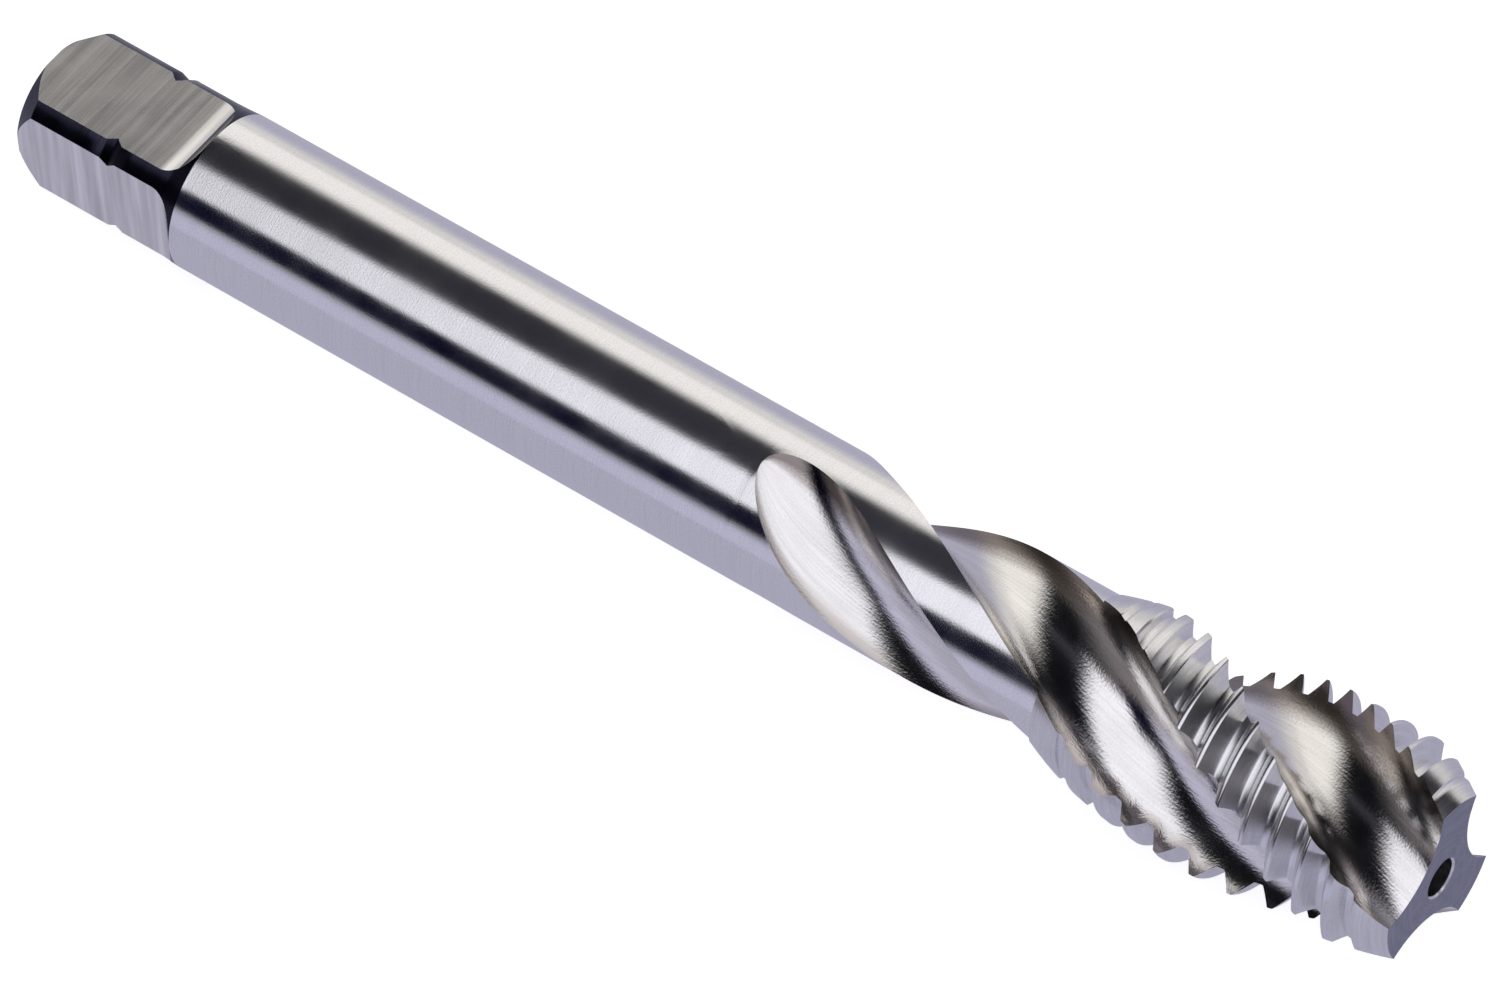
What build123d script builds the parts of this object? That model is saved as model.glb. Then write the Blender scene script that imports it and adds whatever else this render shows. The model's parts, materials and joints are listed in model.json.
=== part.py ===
from build123d import *
import os
from math import atan2, ceil, cos, degrees, pi, radians, sin, sqrt, tan

# M12 x 1.75 spiral-flute machine tap with a reduced shank and a square drive, ground from one bar.
# It is drawn standing on its square end, axis on +Z, and laid down last. Millimetres and degrees.

overall_length = 88.0

# shank
shank_diameter = 9.0
shoulder_start = 10.0              # from the square end, where the shank's shoulder rises
shoulder_run = 0.85

# square drive
square_across_flats = 7.0
flat_length = 9.15                 # flat part of each side, before the cutter's radius
flat_cutter_radius = 2.0
square_corner_diameter = 8.9
end_chamfer_run = 1.15
end_face_diameter = 7.1
ring_groove_from_end = 6.2         # V groove turned round the corners of the square
ring_groove_width = 1.0
ring_groove_depth = 0.22

# thread
thread_diameter = 12.0
thread_pitch = 1.75
thread_angle = 60.0
thread_depth = 1.0
thread_root_flat = 0.376
thread_length = 21.9               # from the point back to the step at the shank
heel_diameter = 9.25               # the blank at that step
heel_taper_run = 8.0               # from the step to the full diameter
heel_taper_bulge = 0.25            # how far that taper swells past a straight one
lead_length = 3.4                  # tapered entry
point_diameter = 9.3
groove_angle_at_point = 259.0      # as flute_angle_at_point, for the groove between two crests

# flutes
flute_count = 3
flute_lead = 55.0                  # advance along the axis in one turn
core_diameter = 4.66
wheel_nose_radius = 3.21           # section of the cut, square to its path
wheel_lift_from_point = 33.1       # where the wheel starts to leave the shank
wheel_lift_radius = 12.8           # on this arc, along the flute's own helix
wheel_lift_run = 8.6               # far enough to clear the shank
wheel_lift_turn = 9.0              # degrees that the bar turns ahead of the helix meanwhile
flute_angle_at_point = 8.5         # middle of one flute, from +Y towards +Z when the tap lies down

# centre holes
centre_hole_diameter = 2.15
centre_hole_depth = 5.0
centre_hole_mouth_chamfer = 0.1
centre_drill_point = 118.0

# lying still
rest_roll = -20.0                  # turn about its own axis, to where it lies without rolling
rest_crest_from_point = 6.2        # the crest that touches, with the shank's shoulder at the other end

clear = 1.0                        # how far cutters reach past the metal
seam_angle = 42.0                  # where the turned faces close, clear of the flutes' run-outs
lift_points = 6                    # that carry its path

shank_radius = shank_diameter / 2
thread_radius = thread_diameter / 2
thread_start = overall_length - thread_length
crest_start = thread_start + heel_taper_run
lead_start = overall_length - lead_length


def turned_blank():
    """The bar after turning: square end, shank, thread blank and tapered entry."""
    corner_radius = square_corner_diameter / 2
    groove_side = ring_groove_width / 2
    profile = Polyline(
        (0, 0),
        (end_face_diameter / 2, 0),
        (corner_radius, end_chamfer_run),
        (corner_radius, ring_groove_from_end - groove_side),
        (corner_radius - ring_groove_depth, ring_groove_from_end),
        (corner_radius, ring_groove_from_end + groove_side),
        (corner_radius, shoulder_start),
        (shank_radius, shoulder_start + shoulder_run),
        (shank_radius, thread_start),
        (heel_diameter / 2, thread_start),
    )
    taper = SagittaArc(profile @ 1, (thread_radius, crest_start), -heel_taper_bulge)
    entry = Polyline(
        taper @ 1,
        (thread_radius, lead_start),
        (point_diameter / 2, overall_length),
        (0, overall_length),
        profile @ 0,
    )
    return Rot(Z=seam_angle) * revolve(Plane.XZ * make_face([profile, taper, entry]), Axis.Z)


def flat_cutter():
    """Metal taken off one side of the square: a flat that ends in the cutter's radius."""
    flat = square_across_flats / 2
    outside = thread_radius + clear
    arc_top = (flat + flat_cutter_radius, flat_length + flat_cutter_radius)
    side = Line((flat, -clear), (flat, flat_length))
    runout = TangentArc(side @ 1, arc_top, tangent=(0, 1))
    rest = Polyline(runout @ 1, (outside, arc_top[1]), (outside, -clear), side @ 0)
    return extrude(Plane.XZ * make_face([side, runout, rest]), shank_diameter, both=True)


def thread_groove():
    """The thread form between two crests, one turn at a time, from past the point to behind the step."""
    flank = tan(radians(thread_angle / 2))
    reach = thread_pitch / 20
    root_radius = thread_radius - thread_depth
    outer_half = thread_root_flat / 2 + (thread_depth + reach) * flank
    form = Polyline(
        (root_radius, -thread_root_flat / 2),
        (thread_radius + reach, -outer_half),
        (thread_radius + reach, outer_half),
        (root_radius, thread_root_flat / 2),
        close=True,
    )
    one_turn = Helix(thread_pitch, thread_pitch, root_radius)
    groove = Rot(Z=groove_angle_at_point + 90) * sweep(Plane.XZ * make_face(form), one_turn, is_frenet=True)
    turns = ceil(thread_length / thread_pitch) + 1
    return [Pos(Z=overall_length - thread_pitch * index) * groove for index in range(turns + 1)]


def flute_cutter():
    """A round-nosed wheel along a helix, then along the same helix as it rises on an arc."""
    path_radius = core_diameter / 2 + wheel_nose_radius
    lift = overall_length - wheel_lift_from_point
    helix = Helix(flute_lead, wheel_lift_from_point + wheel_nose_radius, path_radius, center=(0, 0, lift))
    points = []
    for index in range(lift_points + 1):
        lifted = wheel_lift_run * index / lift_points
        radius = path_radius + wheel_lift_radius - sqrt(wheel_lift_radius**2 - lifted**2)
        ahead = wheel_lift_turn * (1 - cos(pi * lifted / wheel_lift_run)) / 2
        turn = radians(-360 * lifted / flute_lead - ahead)
        points.append(Vector(radius * cos(turn), radius * sin(turn), lift - lifted))
    leaving = points[-1] - points[-2]
    rising = Spline(points, tangents=[helix % 0 * -1, leaving])
    nose = make_face(Circle(wheel_nose_radius).edges())
    section = Plane(origin=helix @ 0, z_dir=helix % 0) * nose
    turn = flute_angle_at_point + 90 - 360 * wheel_lift_from_point / flute_lead
    return [Rot(Z=turn) * sweep(section, path=path, is_frenet=path is helix) for path in (helix, rising)]


def centre_hole():
    """Drilled hole with a broken edge, pointing down from z = 0."""
    radius = centre_hole_diameter / 2
    point = radius / tan(radians(centre_drill_point / 2))
    outline = Polyline(
        (0, clear),
        (radius + centre_hole_mouth_chamfer + clear, clear),
        (radius, -centre_hole_mouth_chamfer),
        (radius, -centre_hole_depth),
        (0, -centre_hole_depth - point),
        close=True,
    )
    return revolve(Plane.XZ * make_face(outline), Axis.Z)


def tap():
    body = turned_blank()
    body -= [Rot(Z=90 * side) * flat_cutter() for side in range(4)]
    body -= thread_groove()
    body -= [
        Rot(Z=360 / flute_count * index) * cutter
        for index in range(flute_count)
        for cutter in flute_cutter()
    ]
    body -= Pos(Z=overall_length) * centre_hole()
    body -= Rot(X=180) * centre_hole()
    return body


def laid_down(body):
    """Resting on the shank's shoulder and on a crest near the point, nose up, point to +X."""
    shoulder = shoulder_start + shoulder_run
    crest = overall_length - rest_crest_from_point
    nose_up = atan2(thread_radius - shank_radius, crest - shoulder)
    axis_height = shank_radius * cos(nose_up) - shoulder * sin(nose_up)
    lying = Rot(Y=-degrees(nose_up)) * Rot(Y=90) * Rot(Z=rest_roll) * body
    return Pos(-overall_length / 2 * cos(nose_up), 0, axis_height) * lying


os.makedirs("parts", exist_ok=True)
tap_body = laid_down(tap())
tap_body.label = "tap_body"
export_step(tap_body, "parts/tap_body.step")
print("tap_body", tap_body.is_valid, round(tap_body.volume, 1))
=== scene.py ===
import bpy
import json
import numpy as np
from math import acos, ceil, cos, degrees, pi, radians, sin, sqrt, tan
from mathutils import Matrix, Vector


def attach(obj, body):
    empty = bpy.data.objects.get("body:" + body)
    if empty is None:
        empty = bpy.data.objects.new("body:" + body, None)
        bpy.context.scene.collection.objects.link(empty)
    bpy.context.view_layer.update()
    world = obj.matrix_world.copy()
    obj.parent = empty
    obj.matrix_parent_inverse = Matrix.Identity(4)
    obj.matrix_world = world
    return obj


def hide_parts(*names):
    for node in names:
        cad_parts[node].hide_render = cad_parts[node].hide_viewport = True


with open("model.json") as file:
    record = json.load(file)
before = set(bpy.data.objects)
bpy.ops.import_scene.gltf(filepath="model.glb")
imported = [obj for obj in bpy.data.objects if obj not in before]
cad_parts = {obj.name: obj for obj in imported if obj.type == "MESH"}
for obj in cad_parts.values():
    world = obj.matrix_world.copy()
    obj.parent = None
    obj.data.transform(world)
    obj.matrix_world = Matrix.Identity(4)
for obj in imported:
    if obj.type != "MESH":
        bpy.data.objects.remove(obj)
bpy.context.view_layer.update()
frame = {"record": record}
print("frame loaded")

mm = 0.001
scene = bpy.context.scene
threadMount = {mount["name"]: mount for mount in frame["record"]["mounts"]}["thread"]

tap = {                      # mm and degrees
    "length": 88.0,
    "shankRadius": 4.5,
    "threadRadius": threadMount["dims"]["r_mm"],
    "threadLength": threadMount["dims"]["length_mm"],
    "roll": -20.0,           # turned about its own axis as it lies
}
threadStart = tap["length"] - tap["threadLength"]

alongTap = Vector(threadMount["axis"]).normalized()
acrossTap = Vector((0, 1, 0))
overTap = alongTap.cross(acrossTap)
tapEnd = Vector(threadMount["pos_m"]) + alongTap * (tap["threadLength"] / 2 - tap["length"]) * mm


def toWorld(radius, angle, height):   # from mm and degrees round the standing bar to where it lies, in metres
    turned = np.radians(np.asarray(angle, float) - 90 + tap["roll"]).ravel()
    height, radius = np.asarray(height, float).ravel() * mm, np.asarray(radius, float).ravel() * mm
    spots = np.outer(height, alongTap) + np.outer(radius * np.cos(turned), acrossTap)
    return spots + np.outer(radius * np.sin(turned), overTap) + np.array(tapEnd)


# flutes, ground with a round-nosed wheel that lifts out of the shank

flute = {
    "count": 3,
    "lead": 55.0,
    "coreRadius": 2.33,
    "noseRadius": 3.21,
    "angleAtPoint": 98.5,    # middle of the first flute
    "liftFrom": 33.1,        # mm behind the point
    "liftRadius": 12.8,
    "liftRun": 8.6,
    "liftTurn": 9.0,
    "columns": 48,           # faces across one flute
    "edgeColumns": 7,        # of those, beside each edge
    "landColumns": 24,
    "evenRun": 9.0,          # mm behind the thread in which the columns draw level
    "innerRadius": 4.3,      # further in, the columns keep their place
    "reach": 2.0,            # radians round the wheel's nose, more than it ever cuts
    "measuredAt": 80.0,      # mm from the square end, on the even part of the flutes
    "rounds": 14,            # of closing in on the wall's height
}
turnPerMm = 360 / flute["lead"]
sector = 360 / flute["count"]
sideColumns = flute["columns"] + flute["landColumns"]
columnCount = flute["count"] * sideColumns


def wheelCentre(behind):   # where the nose of the wheel is, for a distance behind the point
    lifted = np.clip(behind - flute["liftFrom"], 0, flute["liftRadius"] * 0.98)
    rise = flute["liftRadius"] - np.sqrt(flute["liftRadius"]**2 - lifted**2)
    ahead = flute["liftTurn"] * (1 - np.cos(pi * np.minimum(lifted / flute["liftRun"], 1))) / 2
    angle = np.radians(flute["angleAtPoint"] - turnPerMm * behind - ahead)
    radius = flute["coreRadius"] + flute["noseRadius"] + rise
    return np.stack([radius * np.cos(angle), radius * np.sin(angle), tap["length"] - behind], -1)


def wallSpot(height, around):   # radius and angle of the wall; around is 0 at the bottom of the flute
    height, around = np.broadcast_arrays(np.asarray(height, float), np.asarray(around, float))
    behind, small = tap["length"] - height, 1e-3
    for _ in range(flute["rounds"]):
        centre = wheelCentre(behind)
        along = wheelCentre(behind - small) - wheelCentre(behind + small)
        along /= np.linalg.norm(along, axis=-1, keepdims=True)
        out = centre * np.array([1.0, 1.0, 0.0])
        out -= (out * along).sum(-1, keepdims=True) * along
        out /= np.linalg.norm(out, axis=-1, keepdims=True)
        swing = np.sin(around)[..., None] * np.cross(along, out) - np.cos(around)[..., None] * out
        spot = centre + flute["noseRadius"] * swing
        behind = behind + spot[..., 2] - height
    return np.hypot(spot[..., 0], spot[..., 1]), np.degrees(np.arctan2(spot[..., 1], spot[..., 0]))


def nearTurn(angle, near):   # the same angle within half a turn of near
    return near + (angle - near + 180) % 360 - 180


wallAround = np.linspace(-flute["reach"], flute["reach"], 1201)
wallRadius, wallAngle = wallSpot(flute["measuredAt"], wallAround)
wallAngle = nearTurn(wallAngle, flute["angleAtPoint"] - turnPerMm * (tap["length"] - flute["measuredAt"]))
wallAngle -= turnPerMm * flute["measuredAt"]


def reach(radius, radii, around):   # where a flute's two walls come out at a radius
    low = int(radii.argmin())
    return np.interp(radius, radii[low::-1], around[low::-1]), np.interp(radius, radii[low:], around[low:])


def columnPlaces(radius):   # of the columns round the wheel's nose, for a flute that comes out at a radius
    outer = reach(radius, wallRadius, wallAround)
    inner = reach(flute["innerRadius"], wallRadius, wallAround)
    edge, count = flute["edgeColumns"], flute["columns"]
    step = np.minimum(np.arange(columnCount + 1) % sideColumns, count)
    around = inner[0] + (inner[1] - inner[0]) * np.clip((step - edge) / (count - 2 * edge), 0, 1)
    around = around + (outer[0] - inner[0]) * np.clip((edge - step) / edge, 0, 1)
    return around + (outer[1] - inner[1]) * np.clip((step - count + edge) / edge, 0, 1)


def places(height, radius):   # radius and angle of each column of the fluted bar; the last axis is the column
    column, count = np.arange(columnCount + 1), flute["columns"]
    turn, side = column // sideColumns, column % sideColumns
    around, outer = columnPlaces(radius), reach(radius, wallRadius, wallAround)
    twist = turnPerMm * height + sector * turn
    angle = np.interp(around, wallAround, wallAngle) + twist
    place = np.interp(around, wallAround, wallRadius)
    heel = np.interp(outer[1], wallAround, wallAngle) + twist
    nextEdge = np.interp(outer[0], wallAround, wallAngle) + twist + sector
    share = np.clip((side - count) / flute["landColumns"], 0, 1)
    onLand = side > count
    return np.where(onLand, radius, place), np.where(onLand, heel + (nextEdge - heel) * share, angle)


# thread, with a tapered entry at the point and a tapered heel at the shank

thread = {
    "pitch": 1.75,
    "depth": 1.0,
    "rootFlat": 0.376,
    "flankAngle": 30.0,
    "crestRounding": 0.03,
    "rootRounding": 0.06,
    "grooveAngleAtPoint": 349.0,
    "heelRadius": 4.625,
    "heelRun": 8.0,
    "heelBulge": 0.25,
    "entryLength": 3.4,
    "pointRadius": 4.65,
    # rows of points, from a groove's middle to the next crest's
    "rows": (0, 0.14, 0.215, 0.3, 0.42, 0.56, 0.69, 0.79, 0.86, 0.91),
    "rounds": 8,             # of closing in on each row's height
}
threadRoot = tap["threadRadius"] - thread["depth"]


def blankRadius(height):
    share = np.clip((height - threadStart) / thread["heelRun"], 0, 1)
    heel = thread["heelRadius"] + (tap["threadRadius"] - thread["heelRadius"]) * share
    entry = np.clip((height - tap["length"] + thread["entryLength"]) / thread["entryLength"], 0, 1)
    heel += 4 * thread["heelBulge"] * share * (1 - share)
    return heel - (tap["threadRadius"] - thread["pointRadius"]) * entry


def threadRows():   # rows that climb with the thread: on the blank, half way in, and at the groove's bottom
    half, shares = thread["pitch"] / 2, thread["rows"]
    offsets = sorted([half * share for share in shares] + [half] + [-half * share for share in shares[1:]])
    turns = range(-ceil(tap["threadLength"] / thread["pitch"]) - 1, 3)
    start = np.concatenate([np.array(offsets) + thread["pitch"] * turn for turn in turns]) + tap["length"]
    fromGroove = np.tile(np.abs(offsets), len(turns))
    found = []
    for share in (0, 0.5, 1):
        height = np.repeat(start[:, None], columnCount + 1, 1)
        for _ in range(thread["rounds"]):
            inside = np.clip(height, threadStart, tap["length"])
            blank = blankRadius(inside)
            radius = blank - np.maximum(blank - threadRoot, 0) * share
            place, angle = places(inside, radius)
            height = start[:, None] + thread["pitch"] * (angle - thread["grooveAngleAtPoint"]) / 360
        found.append((place, angle, np.clip(height, threadStart, tap["length"]), radius))
    return found, np.repeat(fromGroove[:, None], columnCount + 1, 1), len(offsets)


# square end

square = {
    "half": 3.5,
    "cornerRadius": 4.45,
    "endRadius": 3.55,
    "chamfer": 1.15,
    "ringAt": 6.2,
    "ringHalf": 0.5,
    "ringDepth": 0.22,
    "flatEnd": 9.15,
    "cutterRadius": 2.0,
    "flatRunout": 10.25,     # past this the sides take the corners' near-black colour, a painted dark reflection
    "shoulderStart": 10.0,
    "shoulderRun": 0.85,
    "cornerColumns": 34,
    "spreadRun": 6.0,        # mm past the flats in which the columns spread out evenly
}
centreHole = {"radius": 1.075, "depth": 5.0, "chamfer": 0.1, "pointAngle": 118.0, "faceRings": 8}


def cornerRadius(height):
    end = square["endRadius"]
    end += (square["cornerRadius"] - square["endRadius"]) * min(height / square["chamfer"], 1)
    ring = square["ringDepth"] * max(0.0, 1 - abs(height - square["ringAt"]) / square["ringHalf"])
    rise = min(max(height - square["shoulderStart"], 0) / square["shoulderRun"], 1)
    return end - ring + (tap["shankRadius"] - square["cornerRadius"]) * rise


def squareRing(height, spread=0.0):   # one ring of columns round the square; spread 1 sets them evenly
    radius, side, halfCorner = cornerRadius(height), columnCount // 4, square["cornerColumns"] // 2
    past = min(max(height - square["flatEnd"], 0), square["cutterRadius"])
    flat = square["half"] + square["cutterRadius"] - sqrt(square["cutterRadius"]**2 - past**2)
    corner = acos(flat / radius) if flat < radius else 0.0
    step = np.arange(side + 1)
    inner = np.clip((step - halfCorner) / (side - 2 * halfCorner), 0, 1)
    angle = np.degrees(np.arctan((2 * inner - 1) * tan(corner)))
    angle -= (45 - degrees(corner)) * np.clip((halfCorner - step) / halfCorner, 0, 1)
    angle += (45 - degrees(corner)) * np.clip((step - side + halfCorner) / halfCorner, 0, 1)
    angle += (90 * step / side - 45 - angle) * spread
    flats = np.minimum(radius, flat / np.cos(np.radians(angle)))
    angle = np.concatenate([angle[:-1] + 90 * turn for turn in range(4)] + [angle[:1] + 360])
    return np.append(np.tile(flats[:-1], 4), flats[0]), angle, np.full(columnCount + 1, float(height))


def steps(first, last, count, fine=1.0):   # fine above 1 sets them closer towards last
    return [first + (last - first) * (1 - (1 - index / count)**fine) for index in range(1, count + 1)]


# fluted shank and run-outs

def shankRing(height):
    around = np.linspace(-flute["reach"], flute["reach"], 801)
    radii, angles = wallSpot(height, around)
    radius = tap["shankRadius"]
    if radii.min() >= radius:
        return None
    angles = np.degrees(np.unwrap(np.radians(angles)))
    ends = reach(radius, radii, around)
    share = (columnPlaces(radius)[:flute["columns"] + 1] - ends[0]) / (ends[1] - ends[0])
    even = np.arange(flute["columns"] + 1) / flute["columns"]
    nearThread = min(max(1 - (threadStart - height) / flute["evenRun"], 0), 1)
    share = even + (np.clip(share, 0, 1) - even) * nearThread   # as in the thread, then even
    place = ends[0] + (ends[1] - ends[0]) * share
    wall, wallRadii = np.interp(place, around, angles), np.interp(place, around, radii)
    middle = flute["angleAtPoint"] - turnPerMm * (tap["length"] - height)
    wall += nearTurn(wall[len(wall) // 2], middle) - wall[len(wall) // 2]
    landShare = np.arange(1, flute["landColumns"]) / flute["landColumns"]
    land = wall[-1] + (wall[0] + sector - wall[-1]) * landShare
    one, oneRadii = np.concatenate([wall, land]), np.concatenate([wallRadii, np.full(len(land), radius)])
    angle = np.concatenate([one + sector * turn for turn in range(flute["count"])] + [wall[:1] + 360])
    radii = np.append(np.tile(oneRadii, flute["count"]), wallRadii[0])
    return radii, angle, np.full(columnCount + 1, float(height))


def runoutTip():   # halved until it lies between a height with no flute and one just inside it
    high = tap["length"] - flute["liftFrom"]
    low = high - flute["liftRun"] - 1
    for _ in range(40):
        guess = (high + low) / 2
        low, high = (guess, high) if shankRing(guess) is None else (low, guess)
    return high


def endRings(outline, inward):   # end face, centre hole and its drilled point
    radius, angle, height = outline
    hole, even = centreHole, angle[0] + 360 * np.arange(columnCount + 1) / columnCount
    mouth = hole["radius"] + hole["chamfer"]
    point = hole["radius"] / tan(radians(hole["pointAngle"] / 2))
    rings = [outline]
    for share in steps(0, 1, hole["faceRings"]):
        rings.append((radius + (mouth - radius) * share, angle + (even - angle) * share, height))
    for wide, deep in ((1, hole["chamfer"]), (1, hole["depth"] / 2), (1, hole["depth"]),
                       (0.5, hole["depth"] + point / 2), (0, hole["depth"] + point)):
        rings.append((np.full(columnCount + 1, hole["radius"] * wide), even, height + inward * deep))
    return rings


# the skin of the whole tap, as grids of rows and columns that meet at their borders

zones = ["shank", "corner", "flute", "thread", "flat", "end", "hole"]
skinParts = ("spots", "halfWay", "roots", "blank", "fromGroove", "acrossFlute", "quads", "grain", "zone")
skin = {part: [] for part in skinParts} | {"count": 0}
grainStep = 0.185            # mm from one flute column to the next, for the grinding lines


def addGrid(place, halfWay, root, blank, fromGroove, zone, climb=0):
    rows, columns = place[0].shape
    index = skin["count"] + np.arange(rows * columns).reshape(rows, columns)
    index[:, -1] = index[:, 0]
    if climb:   # the last column of a climbing row is the first column a turn further on
        index[:-climb, -1] = index[climb:, 0]
    skin["count"] += rows * columns
    skin["spots"].append(toWorld(*place))
    skin["halfWay"].append(toWorld(*halfWay))
    skin["roots"].append(toWorld(*root))
    skin["blank"].append(np.broadcast_to(blank, (rows, columns)).ravel())
    skin["fromGroove"].append(np.broadcast_to(fromGroove, (rows, columns)).ravel())
    # -1 at the cutting edge, 1 at the heel
    across = np.minimum(np.arange(columns) % sideColumns / flute["columns"], 1) * 2 - 1
    skin["acrossFlute"].append(np.broadcast_to(across, (rows, columns)).ravel())
    corners = lambda grid: np.stack([grid[:-1, :-1], grid[:-1, 1:], grid[1:, 1:], grid[1:, :-1]], 2)
    skin["quads"].append(corners(index).reshape(-1, 4))
    zone = np.broadcast_to(zone, (rows - 1, columns - 1))
    radius, angle, height = place
    acrossWall = np.arange(columns) % sideColumns * grainStep
    lines = {                # along and across the grinding lines, in mm
        "round": np.stack([np.radians(angle) * tap["shankRadius"], height], -1),
        "flute": np.stack([height, np.broadcast_to(acrossWall, height.shape)], -1),
        "end": np.stack([np.radians(angle) * tap["shankRadius"], radius - height], -1),
    }
    grain = corners(lines["round"])
    for name, where in (("flute", ("flute",)), ("end", ("end", "hole"))):
        here = np.isin(zone, [zones.index(one) for one in where])[..., None, None]
        grain = np.where(here, corners(lines[name]), grain)
    skin["grain"].append(grain.reshape(-1, 4, 2))
    skin["zone"].append(zone.ravel())


def addRings(rings, zone):
    place = tuple(np.array([ring[part] for ring in rings]) for part in range(3))
    addGrid(place, place, place, 0.0, 1.0, zone)


def zonesAcross(body):   # flute columns, then the columns between two flutes
    one = [zones.index("flute")] * flute["columns"] + [zones.index(body)] * flute["landColumns"]
    return np.array(one * flute["count"])


def buildSkin():
    (crest, halfWay, root), fromGroove, climb = threadRows()
    addGrid(crest[:3], halfWay[:3], root[:3], crest[3], fromGroove, zonesAcross("thread"), climb)
    borders = []
    for height in (tap["length"], threadStart):
        level = np.full(columnCount + 1, height)
        borders.append(places(level, blankRadius(level)) + (level,))
    faceZones = np.array([[zones.index("end")]] * centreHole["faceRings"] + [[zones.index("hole")]] * 5)
    addRings(endRings(borders[0], -1), faceZones)

    tip, lift, below = runoutTip(), tap["length"] - flute["liftFrom"], threadStart - 0.02
    heights = [below] + steps(below, lift, 32) + steps(lift, tip, 40, 2.0)[:-1] + [tip + 1e-4]
    fluted = [borders[1]] + [shankRing(height) for height in heights]
    addRings(fluted[::-1], zonesAcross("shank"))
    print("run-outs end at", round(tip, 2))

    even = 360 / columnCount
    shift = round((fluted[-1][1][0] - flute["columns"] / 2 * even + 45) / even)

    def met(ring):   # the same ring, begun at the column that meets the first flute column
        order = np.arange(columnCount + 1) + shift
        turn, order = order // columnCount, order % columnCount
        return ring[0][order], ring[1][order] + 360 * turn, ring[2]

    shoulder = square["shoulderStart"] + square["shoulderRun"]
    last = square["flatEnd"] + sqrt(square["cutterRadius"]**2 - 1)
    ringStart, ringEnd = square["ringAt"] - square["ringHalf"], square["ringAt"] + square["ringHalf"]
    heights = [0.0] + steps(0, square["chamfer"], 8) + steps(square["chamfer"], ringStart, 4)
    heights += steps(ringStart, ringEnd, 12) + steps(ringEnd, square["flatEnd"], 3)
    heights += steps(square["flatEnd"], square["shoulderStart"], 8)
    heights += steps(square["shoulderStart"], shoulder, 12) + steps(shoulder, last, 3)
    squares = [met(squareRing(height)) for height in heights]
    side, halfCorner = columnCount // 4, square["cornerColumns"] // 2
    one = np.full(side, zones.index("flat"))
    # the corner columns, and every column past flatRunout, take the near-black painted dark reflection
    one[:halfCorner] = one[side - halfCorner:] = zones.index("corner")
    one = np.repeat(np.roll(np.tile(one, 4), -shift)[None], len(squares) - 1, 0)
    one[np.array(heights[1:]) > square["flatRunout"]] = zones.index("corner")
    addRings(squares, one)
    addRings(endRings(squares[0], 1)[::-1], faceZones[::-1])

    eased = lambda share: share * share * (3 - 2 * share)
    run, joinStart = square["spreadRun"], tip - 8
    rings = [squares[-1]] + [met(squareRing(last + run * share, eased(share))) for share in steps(0, 1, 14)]
    rings += [met(squareRing(height, 1.0)) for height in steps(last + run, joinStart, 10)]
    tipRing, evenRing = fluted[-1], rings[-1]
    for share in steps(0, 1, 18):
        angle = evenRing[1] + (tipRing[1] - evenRing[1]) * eased(share)
        height = evenRing[2] + (tipRing[2] - evenRing[2]) * share
        rings.append((evenRing[0], angle, height) if share < 1 else tipRing)
    addRings(rings, zones.index("shank"))


def skinMesh(name):   # the grids joined wherever their points meet
    joined = {part: np.concatenate(skin[part]) for part in skinParts}
    keys = np.round(np.hstack([joined["spots"], joined["roots"]]) / (2e-4 * mm)).astype(np.int64)
    _, first, merged = np.unique(keys, axis=0, return_index=True, return_inverse=True)
    quads = merged.ravel()[joined["quads"]].tolist()
    faces, grain, zone = [], [], []
    for corners, uv, kind in zip(quads, joined["grain"].tolist(), joined["zone"].tolist()):
        kept = [n for n in range(4) if corners[n] != corners[n - 1]]
        if len(kept) > 2 and len({corners[n] for n in kept}) == len(kept):
            faces.append([corners[n] for n in kept])
            grain += [uv[n] for n in kept]
            zone.append(kind)
    mesh = bpy.data.meshes.new(name)
    mesh.from_pydata(joined["spots"][first].tolist(), [], faces)
    mesh.uv_layers.new(name="grain").data.foreach_set("uv", np.array(grain, np.float32).ravel())
    mesh.attributes.new("zone", "INT", "FACE").data.foreach_set("value", zone)
    # the thread's depth follows the wall through this point
    bend = 2 * joined["halfWay"] - (joined["spots"] + joined["roots"]) / 2
    for label, spots in (("bendSpot", bend), ("rootSpot", joined["roots"])):
        mesh.attributes.new(label, "FLOAT_VECTOR", "POINT").data.foreach_set("vector", spots[first].ravel())
    for label in ("blank", "fromGroove", "acrossFlute"):
        mesh.attributes.new(label, "FLOAT", "POINT").data.foreach_set("value", joined[label][first])
    mesh.validate()
    mesh.update()
    return mesh


buildSkin()
bodyMesh = skinMesh("tapSkin")
print("skin", len(bodyMesh.vertices), "points", len(bodyMesh.polygons), "faces")


# materials

def makeMaterial(name):
    material = bpy.data.materials.new(name)
    material.use_nodes = True
    nodes, links = material.node_tree.nodes, material.node_tree.links
    return material, nodes, links, nodes["Principled BSDF"]


def mathNode(tree, operation, first, second=None, third=None):
    node = tree.nodes.new("ShaderNodeMath")
    node.operation = operation
    for socket, value in zip(node.inputs, (first, second, third)):
        if value is None:
            continue
        if isinstance(value, (int, float)):
            socket.default_value = value
        else:
            tree.links.new(value, socket)
    return node.outputs[0]


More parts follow.
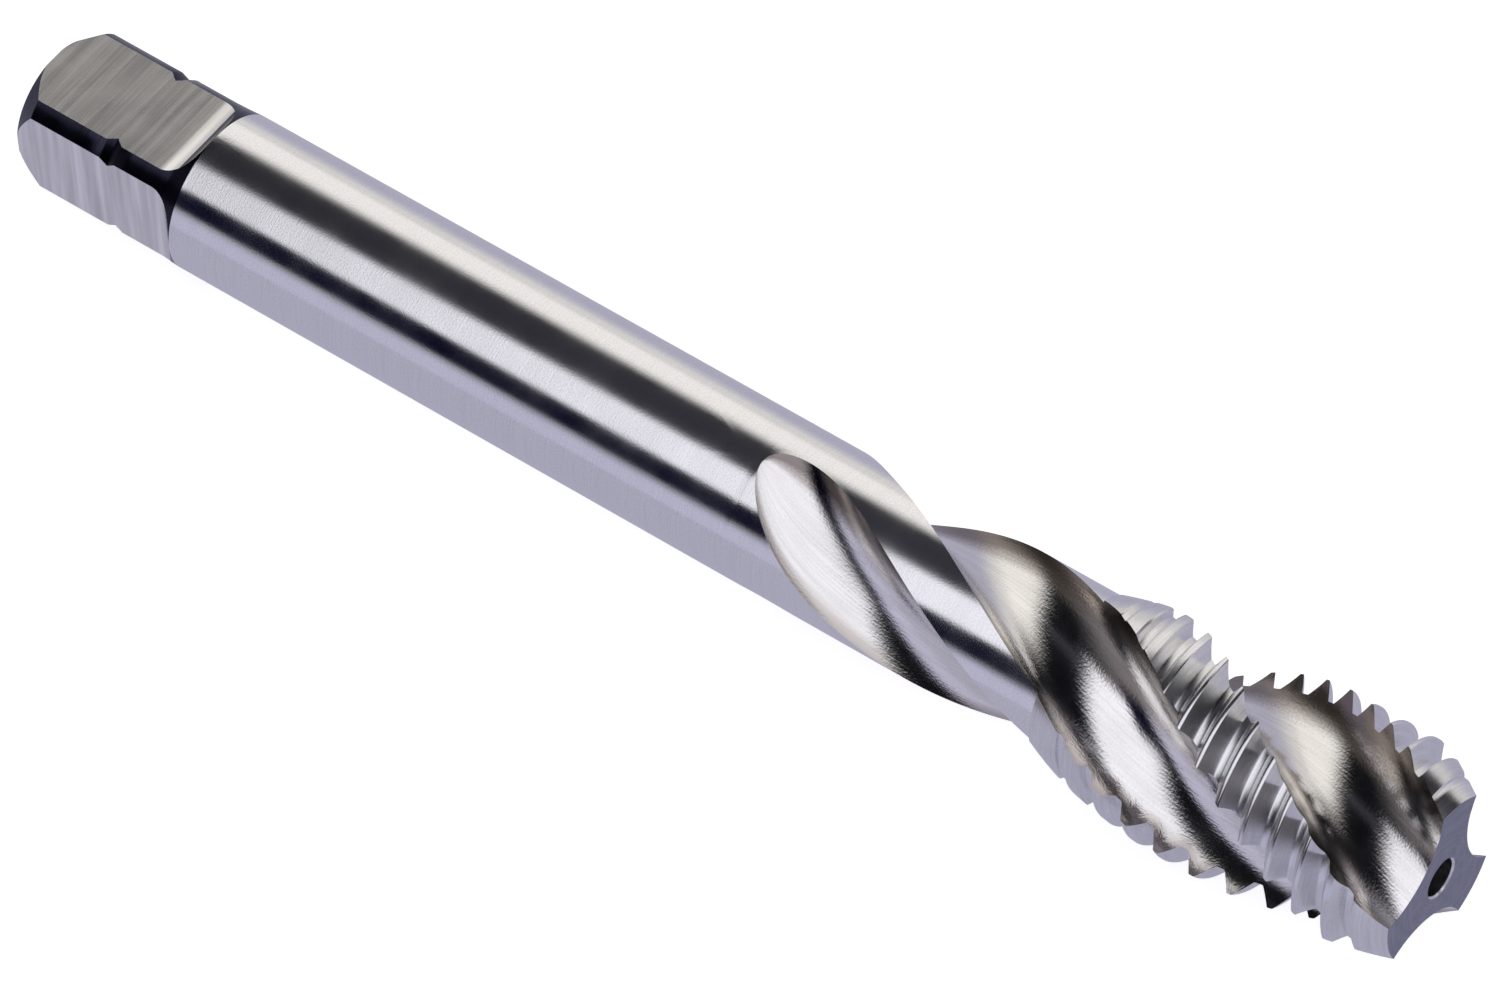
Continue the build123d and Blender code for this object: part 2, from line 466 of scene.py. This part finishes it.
def rampNode(tree, value, stops):
    node = tree.nodes.new("ShaderNodeValToRGB")
    elements = node.color_ramp.elements
    while len(elements) < len(stops):
        elements.new(1.0)
    for element, (position, colour) in zip(elements, stops):
        element.position = position
        element.color = (*colour, 1) if not isinstance(colour, (int, float)) else (colour, colour, colour, 1)
    tree.links.new(value, node.inputs[0])
    return node.outputs[0]


# what a wheel leaves: fine lines, broader streaks, a matt speckle, and slow changes in the finish
def grindingGroup():
    group = bpy.data.node_groups.new("grindingMarks", "ShaderNodeTree")
    for name, value in (("Line length", 3.0), ("Line width", 0.05), ("Streak width", 0.5),
                        ("Speckle size", 0.08), ("Patch size", 4.0)):
        socket = group.interface.new_socket(name, in_out="INPUT", socket_type="NodeSocketFloat")
        socket.default_value = value
    for name in ("Lines", "Streaks", "Speckle", "Patches"):
        group.interface.new_socket(name, in_out="OUTPUT", socket_type="NodeSocketFloat")
    nodes, links = group.nodes, group.links
    given, put = nodes.new("NodeGroupInput"), nodes.new("NodeGroupOutput")
    place = nodes.new("ShaderNodeUVMap")
    place.uv_map = "grain"
    split = nodes.new("ShaderNodeSeparateXYZ")
    links.new(place.outputs[0], split.inputs[0])
    sizes = (("Lines", "Line length", "Line width"), ("Streaks", "Line length", "Streak width"),
             ("Speckle", "Speckle size", "Speckle size"), ("Patches", "Patch size", "Patch size"))
    for output, alongName, acrossName in sizes:
        joined = nodes.new("ShaderNodeCombineXYZ")
        links.new(mathNode(group, "DIVIDE", split.outputs[0], given.outputs[alongName]), joined.inputs[0])
        links.new(mathNode(group, "DIVIDE", split.outputs[1], given.outputs[acrossName]), joined.inputs[1])
        noise = nodes.new("ShaderNodeTexNoise")
        noise.inputs["Scale"].default_value = 1.0
        noise.inputs["Detail"].default_value = 3.0
        links.new(joined.outputs[0], noise.inputs["Vector"])
        links.new(noise.outputs["Fac"], put.inputs[output])
    return group


grindingMarks = grindingGroup()
# "marks" are the group's inputs, in mm; "show" is how far its lines, streaks, speckle and patches show in
# the colour; "depth" is how deep its lines, streaks and speckle are, in microns
finishes = {
    "shank": {"dark": (0.78, 0.78, 0.79), "light": (0.94, 0.94, 0.95), "rough": (0.12, 0.18),
              "marks": (5.0, 0.06, 0.6, 0.11, 3.0), "show": (0.3, 0.1, 0.5, 0.1), "depth": (1.3, 0.0, 2.6)},
    # the corners and the shoulder past the flats are painted near black: a painted dark reflection
    "corner": {"dark": (0.015, 0.015, 0.03), "light": (0.05, 0.05, 0.08), "rough": (0.16, 0.24),
               "marks": (5.0, 0.05, 0.5, 0.10, 2.0), "show": (0.3, 0.2, 0.2, 0.3), "depth": (0.6, 0.0, 1.0)},
    "flute": {"dark": (0.72, 0.70, 0.68), "light": (0.98, 0.97, 0.96), "rough": (0.10, 0.17),
              "marks": (6.0, 0.14, 0.7, 0.14, 2.5), "show": (0.3, 0.3, 0.2, 0.2), "depth": (5.0, 3.0, 8.0)},
    "thread": {"dark": (0.68, 0.68, 0.70), "light": (0.94, 0.94, 0.95), "rough": (0.18, 0.27),
               "marks": (4.0, 0.10, 0.3, 0.12, 2.0), "show": (0.3, 0.2, 0.2, 0.3), "depth": (1.0, 0.0, 2.0)},
    "flat": {"dark": (0.68, 0.67, 0.66), "light": (1.0, 0.99, 0.98), "rough": (0.18, 0.26),
             "marks": (14.0, 0.12, 0.60, 0.10, 3.0), "show": (0.05, 0.82, 0.03, 0.10), "depth": (0.4, 7.0, 0.8)},
    "end": {"dark": (0.19, 0.20, 0.26), "light": (0.42, 0.43, 0.52), "rough": (0.34, 0.46),
            "marks": (2.0, 0.10, 0.4, 0.12, 1.5), "show": (0.3, 0.2, 0.3, 0.2), "depth": (2.0, 2.0, 4.0)},
    "hole": {"dark": (0.60, 0.60, 0.61), "light": (0.95, 0.95, 0.96), "rough": (0.14, 0.22),
             "marks": (2.0, 0.10, 0.4, 0.12, 1.5), "show": (0.4, 0.2, 0.2, 0.2), "depth": (2.0, 2.0, 2.0)},
}

# painted shade and a warm painted reflection across a flute, from 0 at the cutting edge to 1 at the heel:
# darkest and brownest at the cutting edge, less so at the heel
fluteShadeAndReflection = [
    (0.00, (0.32, 0.28, 0.27)), (0.12, (0.30, 0.27, 0.26)), (0.20, (0.62, 0.59, 0.58)),
    (0.28, (1.0, 1.0, 1.0)), (0.86, (1.0, 1.0, 1.0)), (0.93, (0.74, 0.71, 0.68)), (1.00, (0.62, 0.58, 0.55)),
]
shadeScatter = 0.16           # how far the speckle roughens the borders of the flutes' painted shade


def steelMaterial(name):
    finish = finishes[name]
    material, nodes, links, shader = makeMaterial(name + "Steel")
    tree = material.node_tree
    marks = nodes.new("ShaderNodeGroup")
    marks.node_tree = grindingMarks
    for socket, value in zip(marks.inputs, finish["marks"]):
        socket.default_value = value
    shader.inputs["Metallic"].default_value = 1.0
    share = 0.0
    for output, weight in zip(marks.outputs, finish["show"]):
        share = mathNode(tree, "MULTIPLY_ADD", output, weight, share)
    colour = rampNode(tree, share, [(0.34, finish["dark"]), (0.66, finish["light"])])
    if name == "flute":   # painted shade with a warm painted reflection: darker and browner towards the cutting edge and, less, towards the heel
        across = nodes.new("ShaderNodeAttribute")
        across.attribute_name = "acrossFlute"
        place = mathNode(tree, "SUBTRACT", across.outputs["Fac"], shadeScatter / 2)
        place = mathNode(tree, "MULTIPLY_ADD", marks.outputs["Speckle"], shadeScatter, place)
        place = mathNode(tree, "MULTIPLY_ADD", place, 0.5, 0.5)
        paintedTint = nodes.new("ShaderNodeMix")
        paintedTint.data_type, paintedTint.blend_type = "RGBA", "MULTIPLY"
        paintedTint.inputs["Factor"].default_value = 1.0
        links.new(colour, paintedTint.inputs[6])
        links.new(rampNode(tree, place, fluteShadeAndReflection), paintedTint.inputs[7])
        colour = paintedTint.outputs[2]
    links.new(colour, shader.inputs["Base Color"])
    rough = rampNode(tree, marks.outputs["Patches"], [(0.3, finish["rough"][0]), (0.7, finish["rough"][1])])
    links.new(rough, shader.inputs["Roughness"])
    depth = 0.0
    for output, microns in zip(marks.outputs, finish["depth"]):
        depth = mathNode(tree, "MULTIPLY_ADD", output, microns, depth)
    bump = nodes.new("ShaderNodeBump")
    bump.inputs["Strength"].default_value = 1.0
    bump.inputs["Distance"].default_value = 0.001 * mm
    links.new(depth, bump.inputs["Height"])
    links.new(bump.outputs[0], shader.inputs["Normal"])
    return material


steels = {name: steelMaterial(name) for name in zones}
print("materials", len(steels))


# the thread is cut into the skin

def threadTree():
    tree = bpy.data.node_groups.new("cutThread", "GeometryNodeTree")
    tree.interface.new_socket("Geometry", in_out="INPUT", socket_type="NodeSocketGeometry")
    wanted = {
        "Root radius": threadRoot,
        "Root flat": thread["rootFlat"],
        "Flank angle": radians(thread["flankAngle"]),
        "Crest rounding": thread["crestRounding"],
        "Root rounding": thread["rootRounding"],
    }
    identifiers = {}
    for name, value in wanted.items():
        socket = tree.interface.new_socket(name, in_out="INPUT", socket_type="NodeSocketFloat")
        socket.default_value = value
        identifiers[socket.identifier] = value
    tree.interface.new_socket("Geometry", in_out="OUTPUT", socket_type="NodeSocketGeometry")
    nodes, links = tree.nodes, tree.links
    given, put = nodes.new("NodeGroupInput"), nodes.new("NodeGroupOutput")

    def named(name, kind):
        node = nodes.new("GeometryNodeInputNamedAttribute")
        node.data_type = kind
        node.inputs["Name"].default_value = name
        return node.outputs["Attribute"]

    blank = named("blank", "FLOAT")
    halfFlat = mathNode(tree, "MULTIPLY", given.outputs["Root flat"], 0.5)
    past = mathNode(tree, "SUBTRACT", named("fromGroove", "FLOAT"), halfFlat)
    rise = mathNode(tree, "DIVIDE", past, mathNode(tree, "TANGENT", given.outputs["Flank angle"]))
    rise = mathNode(tree, "SMOOTH_MAX", rise, 0.0, given.outputs["Root rounding"])
    form = mathNode(tree, "ADD", rise, given.outputs["Root radius"])
    cut = mathNode(tree, "SMOOTH_MIN", form, blank, given.outputs["Crest rounding"])
    depth = mathNode(tree, "MAXIMUM", mathNode(tree, "SUBTRACT", blank, given.outputs["Root radius"]), 0.001)
    share = mathNode(tree, "DIVIDE", mathNode(tree, "SUBTRACT", blank, cut), depth)
    above = mathNode(tree, "GREATER_THAN", blank, given.outputs["Root radius"])
    share = mathNode(tree, "MULTIPLY", share, above)

    def between(first, second):   # the point moves from the blank to the root on a bend, by share
        mix = nodes.new("ShaderNodeMix")
        mix.data_type = "VECTOR"
        for value, socket in ((share, mix.inputs["Factor"]), (first, mix.inputs[4]), (second, mix.inputs[5])):
            links.new(value, socket)
        return mix.outputs[1]

    outside, bend = nodes.new("GeometryNodeInputPosition").outputs[0], named("bendSpot", "FLOAT_VECTOR")
    spot = between(between(outside, bend), between(bend, named("rootSpot", "FLOAT_VECTOR")))
    move = nodes.new("GeometryNodeSetPosition")
    links.new(given.outputs["Geometry"], move.inputs["Geometry"])
    links.new(spot, move.inputs["Position"])
    whole = nodes.new("GeometryNodeRealizeInstances")
    links.new(move.outputs[0], whole.inputs[0])
    flow, zone = whole.outputs[0], named("zone", "INT")
    for index, name in enumerate(zones):
        coat = nodes.new("GeometryNodeSetMaterial")
        coat.inputs["Material"].default_value = steels[name]
        here = nodes.new("FunctionNodeCompare")
        here.data_type, here.operation = "INT", "EQUAL"
        links.new(zone, here.inputs[2])
        here.inputs[3].default_value = index
        links.new(here.outputs[0], coat.inputs["Selection"])
        links.new(flow, coat.inputs["Geometry"])
        flow = coat.outputs[0]
    links.new(flow, put.inputs[0])
    return tree, identifiers


sharpFrom = 28               # degrees between two faces
bodyMesh.materials.append(steels["shank"])   # an empty first slot would be left beside the tree's
blankBody = bpy.data.objects.new("tapBlank", bodyMesh)
scene.collection.objects.link(blankBody)
cutThread, threadInputs = threadTree()
cutter = blankBody.modifiers.new("cutThread", "NODES")
cutter.node_group = cutThread
for identifier, value in threadInputs.items():
    cutter[identifier] = value
cutBody = blankBody.evaluated_get(bpy.context.evaluated_depsgraph_get())
finished = bpy.data.meshes.new_from_object(cutBody)
finished.name = "tapBody"
bpy.data.objects.remove(blankBody)
finished.polygons.foreach_set("use_smooth", [True] * len(finished.polygons))
finished.set_sharp_from_angle(angle=radians(sharpFrom))
tapBody = bpy.data.objects.new("tapBody", finished)
scene.collection.objects.link(tapBody)
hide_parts("tap_body")
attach(tapBody, "root")
print("tap", len(finished.polygons), "faces", [material.name for material in finished.materials])


# floor, light and camera

floor = {
    "size": 3.0,                        # m
    "colour": (0.90, 0.90, 0.90),
    "lift": 0.74,                       # brings it up to white
    "seenShare": 0.75,                  # how far polished steel sees these two painted reflection colours instead of the lit floor
    "seenNear": (0.45, 0.44, 0.57),     # painted reflection in front of the tap, darker and lilac
    "seenFar": (0.84, 0.81, 0.78),      # painted reflection behind it, brighter and warm, where the light comes from
    "farRun": (15, 40),                 # mm behind the tap in which one goes over into the other
}


def makeFloor():
    half = floor["size"] / 2
    mesh = bpy.data.meshes.new("floor")
    corners = [(-half, -half, 0), (half, -half, 0), (half, half, 0), (-half, half, 0)]
    mesh.from_pydata(corners, [], [(0, 1, 2, 3)])
    material, nodes, links, shader = makeMaterial("paleFloor")
    tree = material.node_tree
    nodes.remove(shader)
    rays = nodes.new("ShaderNodeLightPath")
    plain = nodes.new("ShaderNodeBsdfDiffuse")
    plain.inputs["Color"].default_value = (*floor["colour"], 1)
    lift = nodes.new("ShaderNodeEmission")
    strength = mathNode(tree, "MULTIPLY", rays.outputs["Is Camera Ray"], floor["lift"])
    links.new(strength, lift.inputs["Strength"])
    seen = nodes.new("ShaderNodeAddShader")
    links.new(plain.outputs[0], seen.inputs[0])
    links.new(lift.outputs[0], seen.inputs[1])
    spot = nodes.new("ShaderNodeTexCoord")
    split = nodes.new("ShaderNodeSeparateXYZ")
    links.new(spot.outputs["Object"], split.inputs[0])
    # 0 to 1 from 50 mm in front to 50 mm behind
    across = mathNode(tree, "MULTIPLY_ADD", split.outputs[1], 10.0, 0.5)
    start, end = (at / 100 + 0.5 for at in floor["farRun"])
    paintedTint = rampNode(tree, across, [(start, floor["seenNear"]), (end, floor["seenFar"])])
    # for glossy rays the floor glows as a painted reflection, dark lilac in front of the tap and brighter and
    # warm behind it, in place of most of its lit colour
    paintedMirror = nodes.new("ShaderNodeEmission")
    links.new(paintedTint, paintedMirror.inputs["Color"])
    whole = nodes.new("ShaderNodeMixShader")
    links.new(mathNode(tree, "MULTIPLY", rays.outputs["Is Glossy Ray"], floor["seenShare"]), whole.inputs[0])
    links.new(seen.outputs[0], whole.inputs[1])
    links.new(paintedMirror.outputs[0], whole.inputs[2])
    links.new(whole.outputs[0], nodes["Material Output"].inputs["Surface"])
    mesh.materials.append(material)
    plane = bpy.data.objects.new("floor", mesh)
    scene.collection.objects.link(plane)


# areas of light: degrees round the tap from its far side over the top, how much they lean as they go along
# it, degrees out of square along it, and the softness of their sides and ends
softBoxes = {
    "lilacWall": {
        "colour": (0.52, 0.51, 0.65), "around": (155, 400), "lean": (0, 0),
        "along": (-75, 60), "soft": (6, 15),
    },
    "endGlow": {
        "colour": (0.10, 0.09, 0.08), "around": (-60, 135), "lean": (0, 0),
        "along": (-99, -58), "soft": (15, 6),
    },
    "ahead": {
        "colour": (0.42, 0.42, 0.50), "around": (-99, 280), "lean": (0, 0),
        "along": (56, 99), "soft": (5, 10),
    },
    "upperGrey": {
        "colour": (0.30, 0.29, 0.33), "around": (-20, 90), "lean": (0, 0),
        "along": (19, 70), "soft": (8, 5),
    },
    "upperWhite": {
        "colour": (0.85, 0.84, 0.90), "around": (27, 90), "lean": (0, 0),
        "along": (33, 60), "soft": (8, 4),
    },
    "lowWall": {
        "colour": (0.20, 0.18, 0.19), "around": (112, 400), "lean": (0, 0),
        "along": (-95, -33), "soft": (35, 5),
    },
    "overhead": {
        "colour": (1.00, 0.99, 1.06), "around": (66, 131), "lean": (-0.65, -0.8),
        "along": (-29, 60), "soft": (8, 4),
    },
    "darkCard": {
        "colour": (0.00, 0.00, 0.012), "around": (123, 152), "lean": (0, 0),
        "along": (-36, -13), "soft": (4, 5),
    },
    "farSide": {
        "colour": (0.95, 0.92, 0.885), "around": (-60, 18), "lean": (0, -0.6),
        "along": (-62, -5), "soft": (9, 11),
    },
    "greyStrip": {
        "colour": (0.035, 0.035, 0.045), "around": (40, 82), "lean": (0, 0),
        "along": (-28, -19), "soft": (8, 3),
    },
}
betweenBoxes = (0.004, 0.004, 0.006)


def softBoxGroup():   # 1 inside a box of light, 0 outside it
    group = bpy.data.node_groups.new("softBox", "ShaderNodeTree")
    for name in ("Around", "Along", "Start", "End", "Start lean", "End lean", "Low", "High",
                 "Side softness", "End softness"):
        group.interface.new_socket(name, in_out="INPUT", socket_type="NodeSocketFloat")
    group.interface.new_socket("Inside", in_out="OUTPUT", socket_type="NodeSocketFloat")
    nodes, links = group.nodes, group.links
    given, put = nodes.new("NodeGroupInput").outputs, nodes.new("NodeGroupOutput")
    start = mathNode(group, "MULTIPLY_ADD", given["Along"], given["Start lean"], given["Start"])
    end = mathNode(group, "MULTIPLY_ADD", given["Along"], given["End lean"], given["End"])
    inside = None
    edges = (
        (given["Around"], start, "Side softness"),
        (end, given["Around"], "Side softness"),
        (given["Along"], given["Low"], "End softness"),
        (given["High"], given["Along"], "End softness"),
    )
    for more, less, soft in edges:
        edge = nodes.new("ShaderNodeMapRange")
        edge.interpolation_type = "SMOOTHSTEP"
        edge.inputs["From Min"].default_value = -1
        past = mathNode(group, "DIVIDE", mathNode(group, "SUBTRACT", more, less), given[soft])
        links.new(past, edge.inputs["Value"])
        inside = mathNode(group, "MULTIPLY", inside, edge.outputs[0]) if inside else edge.outputs[0]
    links.new(inside, put.inputs[0])
    return group


def makeWorld():
    world = bpy.data.worlds.new("studio")
    world.use_nodes = True
    scene.world = world
    tree = world.node_tree
    nodes, links = tree.nodes, tree.links
    spot = nodes.new("ShaderNodeTexCoord")
    split = nodes.new("ShaderNodeSeparateXYZ")
    links.new(spot.outputs["Generated"], split.inputs[0])
    toDegrees = lambda value: mathNode(tree, "MULTIPLY", value, 180 / pi)
    around = toDegrees(mathNode(tree, "ARCTAN2", split.outputs[2], split.outputs[1]))
    along = toDegrees(mathNode(tree, "ARCSINE", split.outputs[0]))
    boxGroup, seen = softBoxGroup(), None
    for box in softBoxes.values():
        inside = nodes.new("ShaderNodeGroup")
        inside.node_tree = boxGroup
        links.new(around, inside.inputs["Around"])
        links.new(along, inside.inputs["Along"])
        values = (*box["around"], *box["lean"], *box["along"], *box["soft"])
        for socket, value in zip(list(inside.inputs)[2:], values):
            socket.default_value = value
        mix = nodes.new("ShaderNodeMix")
        mix.data_type = "RGBA"
        links.new(inside.outputs[0], mix.inputs["Factor"])
        mix.inputs[6].default_value = (*betweenBoxes, 1)
        if seen:
            links.new(seen, mix.inputs[6])
        mix.inputs[7].default_value = (*box["colour"], 1)
        seen = mix.outputs[2]
    rays = nodes.new("ShaderNodeLightPath")
    pick = nodes.new("ShaderNodeMix")
    pick.data_type = "RGBA"
    links.new(rays.outputs["Is Camera Ray"], pick.inputs["Factor"])
    links.new(seen, pick.inputs[6])
    pick.inputs[7].default_value = (1, 1, 1, 1)
    links.new(pick.outputs[2], nodes["Background"].inputs["Color"])


view = {   # the camera looks from this side, in degrees and mm
    "azimuth": 64.7513,
    "elevation": 65.3955,
    "roll": -32.9242,
    "distance": 626.458,
    "aim": (0.0, 0.0, 6.0),
    "shiftRight": 1.12732,
    "shiftUp": -1.36650,
    "lens": 295.305,
}


def makeCamera():
    around, up, roll = (radians(view[name]) for name in ("azimuth", "elevation", "roll"))
    right = Vector((cos(around), sin(around), 0))
    back = Vector((sin(around) * cos(up), -cos(around) * cos(up), sin(up)))
    over = back.cross(right)
    right, over = right * cos(roll) + over * sin(roll), over * cos(roll) - right * sin(roll)
    spot = Vector(view["aim"]) + right * view["shiftRight"] + over * view["shiftUp"]
    spot += back * view["distance"]
    data = bpy.data.cameras.new("camera")
    data.sensor_width, data.lens = 36, view["lens"]
    data.clip_start, data.clip_end = 0.01, 20
    camera = bpy.data.objects.new("camera", data)
    turned = Matrix((right, over, back)).transposed().to_4x4()
    camera.matrix_world = Matrix.Translation(spot * mm) @ turned
    scene.collection.objects.link(camera)
    scene.camera = camera


makeFloor()
makeWorld()
makeCamera()
scene.view_settings.view_transform = "Standard"
print("studio ready")
